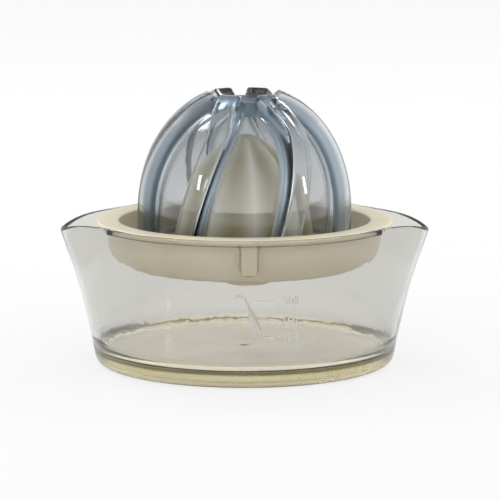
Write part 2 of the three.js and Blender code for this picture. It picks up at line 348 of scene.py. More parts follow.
class Wire:
    """A node's output, on which + - and * add Math nodes."""

    def __init__(self, graph, socket):
        self.graph = graph
        self.socket = socket

    def maths(self, operation, first, second):
        return self.graph.node("ShaderNodeMath", {"operation": operation}, {0: first, 1: second})

    def __add__(self, other):
        return self.maths("ADD", self, other)

    def __radd__(self, other):
        return self.maths("ADD", other, self)

    def __sub__(self, other):
        return self.maths("SUBTRACT", self, other)

    def __rsub__(self, other):
        return self.maths("SUBTRACT", other, self)

    def __mul__(self, other):
        return self.maths("MULTIPLY", self, other)

    def __rmul__(self, other):
        return self.maths("MULTIPLY", other, self)


class Graph:
    """A material's nodes."""

    def __init__(self, name):
        self.material = bpy.data.materials.new(name)
        self.material.use_nodes = True
        self.tree = self.material.node_tree
        self.tree.nodes.clear()

    def node(self, kind, settings=None, inputs=None, output=0):
        """Adds a node, with its settings first and then its values or links."""
        made = self.tree.nodes.new(kind)
        for name, value in (settings or {}).items():
            setattr(made, name, value)
        for key, value in (inputs or {}).items():
            if isinstance(value, Wire):
                self.tree.links.new(value.socket, made.inputs[key])
            else:
                made.inputs[key].default_value = value
        return Wire(self, made.outputs[output])

    def place(self, scale=(1, 1, 1)):
        """Object coordinates, in metres, stretched by a scale."""
        where = self.node("ShaderNodeTexCoord", output="Object")
        return self.node("ShaderNodeMapping", {}, {"Vector": where, "Scale": scale})

    def height(self):
        """Height above the table."""
        return self.node("ShaderNodeSeparateXYZ", {}, {"Vector": self.place()}, output="Z")

    def radius(self):
        """Distance from the axis."""
        flat = self.place((1, 1, 0))
        return self.node("ShaderNodeVectorMath", {"operation": "LENGTH"}, {0: flat},
                         output="Value")

    def noise(self, scale, detail=3.0, stretch=(1, 1, 1)):
        """A noise from 0 to 1, with this many cells to a metre."""
        values = {"Vector": self.place(stretch), "Scale": scale, "Detail": detail}
        return self.node("ShaderNodeTexNoise", {}, values)

    def distance(self, value, middle):
        """How far a value is from a middle."""
        return self.node("ShaderNodeMath", {"operation": "ABSOLUTE"}, {0: value - middle})

    def depth(self):
        """The piece's depth attribute, from 0 to 1: its share of painted shade and deeper tint."""
        return self.node("ShaderNodeAttribute", {"attribute_name": "depth"}, {}, output="Fac")

    def span(self, value, low, high):
        """0 below low and 1 above high, with a smooth rise."""
        values = {"Value": value, "From Min": low, "From Max": high}
        return self.node("ShaderNodeMapRange", {"interpolation_type": "SMOOTHSTEP"}, values)

    def mix(self, share, first, second):
        """A mix of two colours."""
        return self.node("ShaderNodeMix", {"data_type": "RGBA"}, {0: share, 6: first, 7: second},
                         output=2)

    def bump(self, height, strength, distance):
        """A bump's normal."""
        values = {"Height": height, "Strength": strength, "Distance": distance}
        return self.node("ShaderNodeBump", {}, values)

    def finish(self, values, volume=None):
        """The surface from Principled inputs, and an absorbing volume if one is given."""
        surface = self.node("ShaderNodeBsdfPrincipled", {}, values, output="BSDF")
        ends = {"Surface": surface}
        if volume:
            ends["Volume"] = self.node("ShaderNodeVolumeAbsorption", {}, volume, output="Volume")
        target = self.tree.nodes.new("ShaderNodeOutputMaterial")
        for key, wire in ends.items():
            self.tree.links.new(wire.socket, target.inputs[key])
        return self.material


def opaque(rgb):
    """A colour with full alpha, as sockets want it."""
    return (*rgb, 1.0)


def fine_scratches(graph):
    """Hairline wear: thin streaks where two stretched noises are near their middle."""
    along = graph.noise(900, 1, (1, 1, 0.06))
    across = graph.noise(700, 1, (0.08, 0.08, 1))
    thin_along = 1 - graph.span(graph.distance(along, 0.5), 0.0, 0.012)
    thin_across = 1 - graph.span(graph.distance(across, 0.5), 0.0, 0.010)
    patches = graph.span(graph.noise(60, 2), 0.5, 0.7)
    return (thin_along + thin_across) * patches


def clouded(graph, cloud, tint, darkest):
    """A tint that a cloud darkens here and there, down to a share of it."""
    return graph.mix(cloud, opaque(tint), opaque([darkest * c for c in tint]))


# Where the jug's finish changes, in metres: outwards, and up the side of its base
OUTER_SIDE = (0.0504, 0.0512)
BASE_TOP = (0.0068, 0.0088)
# The band of painted olive shade round the base's side, where the wall meets the thick base
SHADE_BAND_START = (0.0044, 0.0052)
SHADE_BAND_END = (0.0058, 0.0067)
MATT_BASE_FADE = (0.0052, 0.0100)


def jug_plastic(settings):
    """Clear plastic, slightly grey, with an olive cast in the thick base and a painted shade band
    along its upper edge.
    """
    graph = Graph("jug_clear_plastic")
    height = graph.height() + 0.0004 * graph.noise(45, 2)
    outside = graph.span(graph.radius(), *OUTER_SIDE)
    low = 1 - graph.span(height, *BASE_TOP)
    # Painted shade band round the base's upper edge
    shade_band = graph.span(height, *SHADE_BAND_START) * (1 - graph.span(height, *SHADE_BAND_END))
    wall = clouded(graph, 0.35 * graph.noise(40, 2), settings.jug_tint, 0.94)
    thick = 1 - graph.span(height, *MATT_BASE_FADE)
    side = graph.mix(shade_band, opaque(settings.base_tint), opaque(settings.painted_base_shade))
    base = graph.mix(outside, opaque(settings.floor_tint), side)
    scratches = fine_scratches(graph)
    ripple = (graph.noise(18, 1, (1, 1, 0.6)) + 0.03 * graph.noise(160, 2)) * (1 - thick)
    return graph.finish({
        "Base Color": graph.mix(low, wall, base),
        "Roughness": 0.025 + 0.03 * graph.noise(160, 3) + 0.12 * scratches + 0.2 * thick * outside,
        "IOR": 1.5,
        "Transmission Weight": 1.0,
        "Normal": graph.bump(ripple + 0.002 * scratches, 0.9, 0.0028),
    }, {"Color": (0.93, 0.87, 0.62, 1.0), "Density": 7.0})


def mark_plastic():
    """The jug's plastic where the mould was etched matt, for the scale."""
    graph = Graph("scale_matt_plastic")
    grain = graph.noise(2500, 2)
    return graph.finish({
        "Base Color": graph.mix(grain, opaque((0.88, 0.88, 0.85)), opaque((0.97, 0.97, 0.95))),
        "Roughness": 0.25 + 0.2 * grain,
        "IOR": 1.5,
        "Transmission Weight": 0.85,
        "Normal": graph.bump(grain, 0.3, 0.0001),
    })


def ivory_plastic(settings):
    """Satin ivory plastic with painted shade in the cone's flutes and along the key's edges, and
    darker over the dish than on the bowl's side.
    """
    graph = Graph("strainer_ivory_plastic")
    cloud = graph.noise(55, 3)
    speck = graph.noise(1600, 2)
    deep = graph.span(0.7 * cloud + 0.3 * speck, 0.25, 0.85)
    tone = graph.mix(0.22 * deep, opaque(settings.strainer), opaque(settings.strainer_shade_and_mottle))
    scratches = fine_scratches(graph)
    return graph.finish({
        # Painted shade from the depth attribute, in the flutes and along the key's edges, and a
        # darker tone over the dish
        "Base Color": graph.mix(graph.depth(), tone, opaque(settings.strainer_shade_and_mottle)),
        "Roughness": 0.30 + 0.14 * cloud + 0.05 * speck + 0.10 * scratches,
        "IOR": 1.5,
        "Subsurface Weight": 0.18,
        "Subsurface Radius": (0.004, 0.003, 0.0015),
        "Subsurface Scale": 1.0,
        "Normal": graph.bump(speck + 0.2 * scratches, 0.10, 0.00008),
    })


def blue_plastic(settings):
    """Clear plastic with a pale blue cast, and a deeper blue on the thick fins: their tint, and
    painted shade.
    """
    graph = Graph("reamer_clear_plastic")
    wall = clouded(graph, 0.4 * graph.noise(70, 2), settings.reamer_tint, 0.95)
    scratches = fine_scratches(graph)
    ripple = graph.noise(120, 2, (1, 1, 0.5))
    return graph.finish({
        # Deeper tint and painted shade from the depth attribute, on the fins' sides, roots and hub
        "Base Color": graph.mix(graph.depth(), wall, opaque(settings.reamer_deep_tint_and_shade)),
        "Roughness": 0.02 + 0.025 * graph.noise(200, 3) + 0.10 * scratches + 0.4 * graph.depth(),
        "IOR": 1.5,
        "Transmission Weight": 1.0,
        "Normal": graph.bump(ripple + 0.03 * scratches, 0.10, 0.0005),
    }, {"Color": (0.55, 0.72, 0.82, 1.0), "Density": 12.0})


def pale_floor():
    """Plain pale floor with a faint grain and a soft glow of its own."""
    graph = Graph("pale_floor")
    grain = graph.noise(30, 3)
    return graph.finish({
        "Base Color": graph.mix(grain, opaque((0.19, 0.19, 0.19)), opaque((0.21, 0.21, 0.21))),
        "Roughness": 0.75 + 0.1 * grain,
        "Specular IOR Level": 0.1,
        "Emission Color": (1.0, 1.0, 0.995, 1.0),
        "Emission Strength": 0.72,
        "Normal": graph.bump(grain, 0.02, 0.0005),
    })


def dress(piece, material):
    """Gives a piece one material."""
    piece.data.materials.clear()
    piece.data.materials.append(material)


# --- jug ---------------------------------------------------------------------------------------

JUG_COLUMNS = 480
CORNER = 3.2
INNER_CORNER = 3.0
RIM_ROUNDING = 0.4
SEAT_WALL_LEVEL = 0.7
WALL_LEVELS = 22
UNDERSIDE_RADII = (0, 12, 24, 36)
FLOOR_RADII = (40, 28, 16, 8)
# The low nub in the floor's middle, as radius and rise
NUB = [(3.4, 0), (1.6, 0), (1.5, 0), (1.35, 0.1), (1.0, 0.2), (0.5, 0.26), (0, 0.28)]
RIB_SPAN = (50.35, 51.5)
RIB_THICKNESS = 1.2
RIB_FOOT = 38
RIB_ROUNDING = 0.3


class JugForm:
    """The jug's wall as radii and heights, in millimetres."""

    tip_rounding = 3.5
    plan_power = 1.7
    side_power = 1.2
    dip_power = 2.6
    wall_start, wall_full = 0.8, 0.9
    dip_start = 0.55

    def __init__(self, sizes):
        self.top = sizes.height / MM
        self.base = sizes.base_radius / MM
        self.rim = sizes.rim_radius / MM
        self.wall = sizes.wall / MM
        self.floor = sizes.floor / MM
        self.seat = sizes.seat_radius / MM
        self.seat_floor = self.top - sizes.seat_depth / MM
        self.reach = sizes.spout_reach / MM
        self.dip = sizes.spout_dip / MM
        self.half_angle = math.degrees(sizes.spout_half_angle)

    def share(self, angle):
        """1 at a spout's centre line, 0 from its half angle outwards."""
        def soften(a):
            return math.hypot(a, self.tip_rounding) - self.tip_rounding
        from_x = math.degrees(math.acos(min(1, abs(math.cos(angle)))))
        return max(0, 1 - soften(from_x) / soften(self.half_angle)) ** self.plan_power

    def radius(self, height):
        return self.base + (self.rim - self.base) * height / self.top

    def pinched(self, radius, angle, height):
        """Where the spouts take a point of the round jug."""
        share = self.share(angle)
        rise = max(0, height) / self.top
        near_wall = smoothstep(radius / self.base, self.wall_start, self.wall_full)
        near_rim = smoothstep(rise, self.dip_start, 1)
        return (
            radius + self.reach * share * rise ** self.side_power * near_wall,
            height - self.dip * share ** self.dip_power * near_rim,
        )

    def outer(self, inset, angle, height):
        radius, dropped = self.pinched(self.radius(height), angle, height)
        return radius - inset, dropped

    def inner(self, inset, angle, height, seated):
        radius, dropped = self.pinched(self.radius(height) - self.wall, angle, height)
        if seated:
            radius = max(radius, self.seat)
        return radius + inset, dropped

    def rings(self):
        """One function of the angle for each ring, from under the base to the floor's middle."""
        def plain(radius, height):
            return lambda angle: self.pinched(radius, angle, height)

        def outer(inset, height):
            return lambda angle: self.outer(inset, angle, height)

        def inner(inset, height, seated):
            return lambda angle: self.inner(inset, angle, height, seated)

        rings = [plain(r, 0) for r in UNDERSIDE_RADII]
        rings += [plain(r, z) for r, z in arc(self.base - CORNER, CORNER, CORNER, -90, 0, 8)]
        low, high = CORNER, self.top - RIM_ROUNDING
        rings += [outer(0, low + (high - low) * i / WALL_LEVELS) for i in range(1, WALL_LEVELS)]
        e = RIM_ROUNDING
        rings += [outer(e - x, self.top - e + y) for x, y in arc(0, 0, e, 0, 90, 4)]
        rings += [inner(e - x, self.top - e + y, True) for x, y in arc(0, 0, e, 90, 0, 4)]
        rings += [inner(0, self.seat_floor + rise, True) for rise in (SEAT_WALL_LEVEL, 0)]
        inner_low = self.floor + INNER_CORNER
        span = self.seat_floor - inner_low
        rings += [
            inner(0, self.seat_floor - span * i / WALL_LEVELS, False) for i in range(WALL_LEVELS)
        ]
        centre = self.radius(inner_low) - self.wall - INNER_CORNER
        rings += [plain(r, z) for r, z in arc(centre, inner_low, INNER_CORNER, 0, -90, 7)]
        rings += [plain(r, self.floor) for r in FLOOR_RADII]
        rings += [plain(r, self.floor + rise) for r, rise in NUB]
        return rings


def make_jug(sizes):
    """The jug as one closed solid, with the two guide ribs beside the strainer's key."""
    form = JugForm(sizes)
    rings = form.rings()
    jug = sleeve("jug_clear", JUG_COLUMNS, len(rings))

    def place(ring, column):
        angle = FULL_TURN * column / JUG_COLUMNS
        radius, height = rings[ring](angle)
        return radius * math.cos(angle), radius * math.sin(angle), height, 0

    shape(jug, JUG_COLUMNS, place)
    close_up(jug)
    offset = KEY_WIDTH / 2 + FIT + RIB_THICKNESS / 2
    rib_top = form.seat_floor - 0.1
    ribs = [radial_block("guide_rib", *RIB_SPAN, RIB_THICKNESS, RIB_FOOT, rib_top, KEY_BEARING,
                         side * offset, RIB_ROUNDING) for side in (-1, 1)]
    combine(jug, join(ribs), "UNION")
    smooth(jug)
    return jug


# The volume scale stands proud of the front wall: ticks, numerals and one slanted tapered stroke.
# Each tick has a height and its two ends.
SCALE_RISE = 0.35
SCALE_GAP = 0.02
TICKS = {"200": (30.1, 0.8, 10.9), "150": (23.1, 4.4, 10.6), "100": (17.6, 6.8, 10.9)}
TICK_WIDTH = 0.42
TICK_STEPS = 8
NUMERAL_LEFT = 13.3
NUMERAL_HEIGHT = 2.7
LETTER_SIZE = 1.35 * NUMERAL_HEIGHT
LETTER_ROUNDING = 0.03
STROKE_RISE = 0.16
STROKE_ROUNDING = 0.07
STROKE = [
    (-3.9, 31.0), (-3.2, 31.9), (-2.2, 32.4), (-0.9, 32.3), (0.6, 31.2), (1.6, 29.6), (3.0, 26.6),
    (4.5, 23.4), (5.6, 20.4), (5.9, 18.4), (4.9, 18.3), (3.9, 19.6), (2.6, 22.2), (1.2, 25.0),
    (1.3, 27.4), (0.4, 30.2), (-0.9, 31.5), (-2.2, 31.7), (-3.2, 31.3),
]


def numeral(text, left, height):
    """A numeral as a flat mesh with some thickness."""
    deselect_all()
    bpy.ops.object.text_add()
    label = bpy.context.object
    label.data.body = text
    label.data.size = LETTER_SIZE * MM
    label.data.extrude = SCALE_RISE * MM / 2
    label.data.bevel_depth = LETTER_ROUNDING * MM
    label.data.align_y = "CENTER"
    bpy.ops.object.convert(target="MESH")
    piece = name_new("scale_numeral")
    low = min(v.co.x for v in piece.data.vertices)
    for vertex in piece.data.vertices:
        vertex.co += Vector((left * MM - low, height * MM, SCALE_RISE * MM / 2))
    return piece


def wrap_on_wall(piece, form):
    """Lays a flat drawing, X sideways, Y up and Z proud, on the jug's front wall."""
    for vertex in piece.data.vertices:
        height = vertex.co.y / MM
        radius = form.radius(height) + SCALE_GAP + vertex.co.z / MM
        angle = math.radians(-90) + vertex.co.x / MM / form.radius(height)
        vertex.co = Vector((radius * math.cos(angle), radius * math.sin(angle), height)) * MM


def make_stroke(sizes):
    """The raised stroke beside the scale."""
    stroke = plate("jug_scale_stroke", STROKE, STROKE_RISE)
    round_edges(stroke, STROKE_ROUNDING, 2)
    wrap_on_wall(stroke, JugForm(sizes))
    close_up(stroke)
    smooth(stroke, 30)
    return stroke


def make_scale(sizes):
    """The raised ticks and numerals, as one piece."""
    form = JugForm(sizes)
    drawings = []
    for text, (height, left, right) in TICKS.items():
        low, high = height - TICK_WIDTH / 2, height + TICK_WIDTH / 2
        along = [left + (right - left) * i / TICK_STEPS for i in range(TICK_STEPS + 1)]
        outline = [(x, low) for x in along] + [(x, high) for x in reversed(along)]
        tick = plate("scale_tick", outline, SCALE_RISE)
        drawings += [tick, numeral(text, NUMERAL_LEFT, height)]
    for drawing in drawings:
        wrap_on_wall(drawing, form)
    scale = join(drawings)
    scale.name = scale.data.name = "jug_volume_scale"
    close_up(scale)
    smooth(scale, 30)
    return scale


# --- strainer ------------------------------------------------------------------------------------

DISH_COLUMNS = 360
DISH_CORNER = 10.0
DISH_FLOOR_RADII = (30, 34)
DISH_UNDERSIDE_RADII = (33, 28)
MOUTH_ROUNDING = 0.7
FLANGE_THICKNESS = 1.8
FLANGE_TOP_EDGE = 0.5
FLANGE_LOW_EDGE = 0.3
FLANGE_FILLET = 0.8
CONE_FILLET = 1.5
CONE_OUTLINE = [
    (5.5, 78.6), (10.7, 74.8), (15.5, 70.5), (19, 66), (21, 61), (22.4, 55), (23.6, 48), (24.6, 40),
]
CREST_BEARING = 9.6
FLUTE_FULL_RADIUS = 14.0
CREST_ROUNDING = 0.12
# The cone's thickness under a ridge, of which the flutes take a part
CONE_WALL = 4.4
HOLLOW_LIP = 0.8
# Shares of the darker colour on the dish, and less on the bowl's side
DISH_DARKENING = 0.42
BOWL_SIDE_DARKENING = 0.14
BOWL_SIDE = 6
FOOT_RADIUS = 7.6
FOOT_CIRCLE = 31.5
FOOT_DROP = 0.9
FOOT_SUNK = 0.3
SLOTS_IN_GROUP = 5
SLOT_SPACING = 20
SLOT_SPAN = (27.5, 40.5)
SLOT_WIDTH = 2
SLOT_ROUNDING = 0.9


def through(points, steps):
    """A smooth line through points: a Catmull-Rom curve with this many steps to a span."""
    padded = [points[0], *points, points[-1]]
    line = []
    for a, b, c, d in zip(padded, padded[1:], padded[2:], padded[3:]):
        for i in range(steps):
            t = i / steps
            line.append(tuple(
                0.5 * (2 * q + (r - p) * t + (2 * p - 5 * q + 4 * r - s) * t * t
                       + (3 * q - p - 3 * r + s) * t ** 3)
                for p, q, r, s in zip(a, b, c, d)
            ))
    return [*line, points[-1]]


class StrainerForm:
    """The dish and cone as an outline of radius and height, in millimetres."""

    def __init__(self, sizes, top):
        self.sizes = sizes
        self.top = top
        self.flange = sizes.flange_radius / MM
        self.bowl = sizes.bowl_radius / MM
        self.wall = sizes.wall / MM
        self.bottom = top - sizes.depth / MM
        self.floor = self.bottom + self.wall
        self.flange_bottom = top - FLANGE_THICKNESS
        self.apex = sizes.cone_top / MM

    def cone(self, shrink):
        """The cone's side from its tip down, moved in by a shrink."""
        tip = [(0.001, self.apex), (2.6, self.apex - 0.5)]
        points = through([*tip, *CONE_OUTLINE], 5)
        return [(max(0.001, r - shrink), z - 0.7 * shrink) for r, z in points if r > shrink * 0.9]

    def outline(self):
        """Radius, height and whether the flutes reach that ring."""
        cone = [(r, z) for r, z in self.cone(0) if z > self.floor + CONE_FILLET + 0.1]
        e = CONE_FILLET
        foot = arc(cone[-1][0] + e, self.floor + e, e, 180, 270, 4)[1:]
        centre = self.bowl - DISH_CORNER
        corner_height = self.bottom + DISH_CORNER
        opening = self.bowl - self.wall
        surface = [(r, self.floor) for r in DISH_FLOOR_RADII]
        surface += arc(centre, corner_height, DISH_CORNER - self.wall, -90, 0, 10)
        e = MOUTH_ROUNDING
        surface += arc(opening + e, self.top - e, e, 180, 90, 4)
        e = FLANGE_TOP_EDGE
        surface += arc(self.flange - e, self.top - e, e, 90, 0, 4)
        e = FLANGE_LOW_EDGE
        surface += arc(self.flange - e, self.flange_bottom + e, e, 0, -90, 3)
        e = FLANGE_FILLET
        surface += arc(self.bowl + e, self.flange_bottom - e, e, 90, 180, 4)
        surface += arc(centre, corner_height, DISH_CORNER, 0, -90, 12)
        hollow = [(r, z) for r, z in self.cone(CONE_WALL) if z > self.bottom + HOLLOW_LIP]
        mouth = hollow[-1][0] + HOLLOW_LIP
        surface += [(r, self.bottom) for r in (*DISH_UNDERSIDE_RADII, mouth)]
        fluted = [(r, z, True) for r, z in [(0, self.apex), *cone, *foot]]
        plain = [(r, z, False) for r, z in [*surface, *reversed(hollow)]]
        tip = plain[-1][1]
        return [*fluted, *plain, (0, tip + 0.3, False)]

    def depth(self, radius, height):
        """How much of the darker colour the dish gets: less on the bowl's side."""
        on_bowl = radius > self.bowl - BOWL_SIDE and height < self.flange_bottom
        return BOWL_SIDE_DARKENING if on_bowl else DISH_DARKENING

    def sink(self, radius, height, angle):
        """How far a flute sinks at this place, as a share of its depth; the same share paints shade
        in the flute.
        """
        phase = self.sizes.crests * (angle - bearing_to_angle(CREST_BEARING))
        wave = math.hypot(math.sin(phase / 2), CREST_ROUNDING) - CREST_ROUNDING
        fade = smoothstep(height, self.floor - 0.5, self.floor + 3)
        return wave * min(1, radius / FLUTE_FULL_RADIUS) * fade


def key_outline():
    """The key from the front: a tongue with flared shoulders and a round lower end."""
    half = KEY_WIDTH / 2
    flare, end = 2.2, 2.7
    shoulder, top = 48.75, 50.0
    right = arc(half + flare, shoulder - flare, flare, 90, 180, 6)
    lower = arc(half - end, KEY_FOOT + end, end, 0, -90, 7)
    side = [(half + flare, top), *right, *lower]
    return [*reversed(side), *[(-x, z) for x, z in side]]


def make_key():
    """The key, standing on the front of the bowl."""
    key = plate("strainer_key", key_outline(), KEY_REACH - KEY_ROOT)
    round_edges(key, KEY_ROUNDING, 2)
    face = max(key.data.polygons, key=lambda polygon: polygon.center.z)
    for polygon in key.data.polygons:
        polygon.select = polygon.index == face.index
    choose(key)
    bpy.ops.object.mode_set(mode="EDIT")
    bpy.ops.mesh.select_mode(type="FACE")
    bpy.ops.mesh.inset(thickness=KEY_INSET * MM)
    bpy.ops.object.mode_set(mode="OBJECT")
    for vertex in key.data.vertices:
        sideways, height, out = vertex.co / MM
        vertex.co = Vector((KEY_ROOT + out, sideways, height)) * MM
    close_up(key)
    at_bearing(key, KEY_BEARING)
    return key


def key_depth(form, where):
    """How much painted shade a place on the key gets, most along its edges, or None off the key."""
    out, sideways, height = (Matrix.Rotation(-bearing_to_angle(KEY_BEARING), 3, "Z") @ where) / MM
    standing = form.bowl + 1 < out < KEY_REACH + 0.2 and height < form.flange_bottom + 0.02
    if not standing or abs(sideways) > KEY_WIDTH:
        return None
    border = KEY_ROUNDING + KEY_INSET / 2
    on_face = abs(sideways) < KEY_WIDTH / 2 - border and height > KEY_FOOT + border
    return KEY_FACE_SHADE if on_face else KEY_EDGE_SHADE


def make_foot(form, bearing):
    """A low round foot under the dish, at a bearing."""
    around = bearing_to_angle(bearing)
    centre = Vector((FOOT_CIRCLE * math.cos(around), FOOT_CIRCLE * math.sin(around),
                     form.bottom + FOOT_SUNK)) * MM
    thickness = 2 * (FOOT_DROP + FOOT_SUNK)
    deselect_all()
    bpy.ops.mesh.primitive_cylinder_add(vertices=64, radius=FOOT_RADIUS * MM,
                                        depth=thickness * MM, location=centre)
    foot = name_new("strainer_foot")
    round_edges(foot, 0.8 * FOOT_DROP, 4)
    return foot


def make_slots(form, middle):
    """The cutters of a group of drain slots round a middle bearing."""
    first = middle - SLOT_SPACING * (SLOTS_IN_GROUP - 1) / 2
    return [
        radial_block("drain_cut", *SLOT_SPAN, SLOT_WIDTH, form.bottom - 2, form.floor + 4,
                     first + SLOT_SPACING * slot, rounding=SLOT_ROUNDING)
        for slot in range(SLOTS_IN_GROUP)
    ]


def make_strainer(sizes, jug_sizes):
    """The dish, cone, key, feet, lugs and drain slots as one solid."""
    form = StrainerForm(sizes, jug_sizes.height / MM)
    outline = form.outline()
    strainer = sleeve("strainer_ivory", DISH_COLUMNS, len(outline))

    def place(ring, column):
        angle = FULL_TURN * column / DISH_COLUMNS
        radius, height, fluted = outline[ring]
        share = form.depth(radius, height)
        # In the flutes the same share sinks the surface and paints shade in the valleys
        if fluted:
            share = form.sink(radius, height, angle)
            radius -= sizes.flute_depth / MM * share
        return radius * math.cos(angle), radius * math.sin(angle), height, share

    shape(strainer, DISH_COLUMNS, place)
    close_up(strainer)
    known = depths_by_place(strainer)
    combine(strainer, make_key(), "UNION")
    added, cuts = [], []
    for third in range(LUG_COUNT):
        bearing = KEY_BEARING + 360 / LUG_COUNT * third
        lug = radial_block("stop_lug", *LUG_SPAN, LUG_WIDTH, form.floor - 1,
                           form.floor + LUG_RISE, bearing, rounding=0.5)
        added += [make_foot(form, bearing), lug]
        cuts += make_slots(form, bearing + 180 / LUG_COUNT)
    combine(strainer, join(added), "UNION")
    combine(strainer, join(cuts), "DIFFERENCE")

    def depth_of_new(where):
        on_key = key_depth(form, where)
        return form.depth(where.xy.length / MM, where.z / MM) if on_key is None else on_key

    set_depths(strainer, known, depth_of_new)
    smooth(strainer)
    return strainer


# --- large reamer --------------------------------------------------------------------------------

WIDEST = 53.0
DOME_POWER = 2.1
FIN_DOME_TOP = 97.5
VALLEY_DOME_TOP = 91.5
SWIRL_LEVEL = 58.5
SWIRL_RETURN = 8.4
SWIRL_RETURN_SPAN = (82, 96)
RING_TOP = 42.9
RING_ROUNDING = 0.5
RING_FILLET = 1.5
FIN_FOOT = 39.5
FIN_FOOT_RISE = 12
DOME_STEPS = 40
HOLLOW_STEPS = 30
HUB_FOOT_RADIUS = 13.4
HUB_RADIUS = 12.8
CROWN_FLOOR = 92.4
CROWN_DISH = 0.25
FIN_END_RADIUS = 12.6
FIN_END_FOOT = 9.6
CROWN_RADIUS = 11.0
FIN_ROUNDING = 0.9
ROOT_ROUNDING = 1.3
GORE_COLUMNS = 9
# Shares of deeper tint and painted shade on the fins' sides and ends
FIN_SIDE_TINT_AND_SHADE = 0.65
FIN_END_TINT_AND_SHADE = 0.15
FIN_BEARING = 30


def between(start, end, share):
    """The place at a share of the way from one point to another."""
    return tuple(a + (b - a) * share for a, b in zip(start, end))


def dome(widest, top, steps, end_radius):
    """A dome's side from its widest level up to a radius, as radius and height."""
    share = (end_radius / widest) ** DOME_POWER
    last = math.asin((1 - share) ** 0.5)
    side = []
    for i in range(steps + 1):
        t = last * i / steps
        side.append((widest * math.cos(t) ** (2 / DOME_POWER),
                     WIDEST + (top - WIDEST) * math.sin(t) ** (2 / DOME_POWER)))
    return side


def half_columns():
    """Half of one fin and gore, as the kind of place and two shares.

    "crest" is a share of the way to the edge's rounding, "edge" and "root" are on the two
    roundings, "side" is a share of the way down the fin, and "gore" one of the way to its middle.
    """
    quarter = [math.radians(90 * i / 4) for i in range(5)]
    crest = [("crest", share, 0) for share in (0, 0.3, 0.6, 0.85)]
    edge = [("edge", 1 - math.sin(a), 1 - math.cos(a)) for a in quarter]
    side = [("side", share, 0) for share in (0.35, 0.7)]
    root = [("root", 1 - math.cos(a), 1 - math.sin(a)) for a in quarter]
    gore = [("gore", (i + 1) / GORE_COLUMNS, 0) for i in range(GORE_COLUMNS)]
    return [*crest, *edge, *side, *root, *gore]


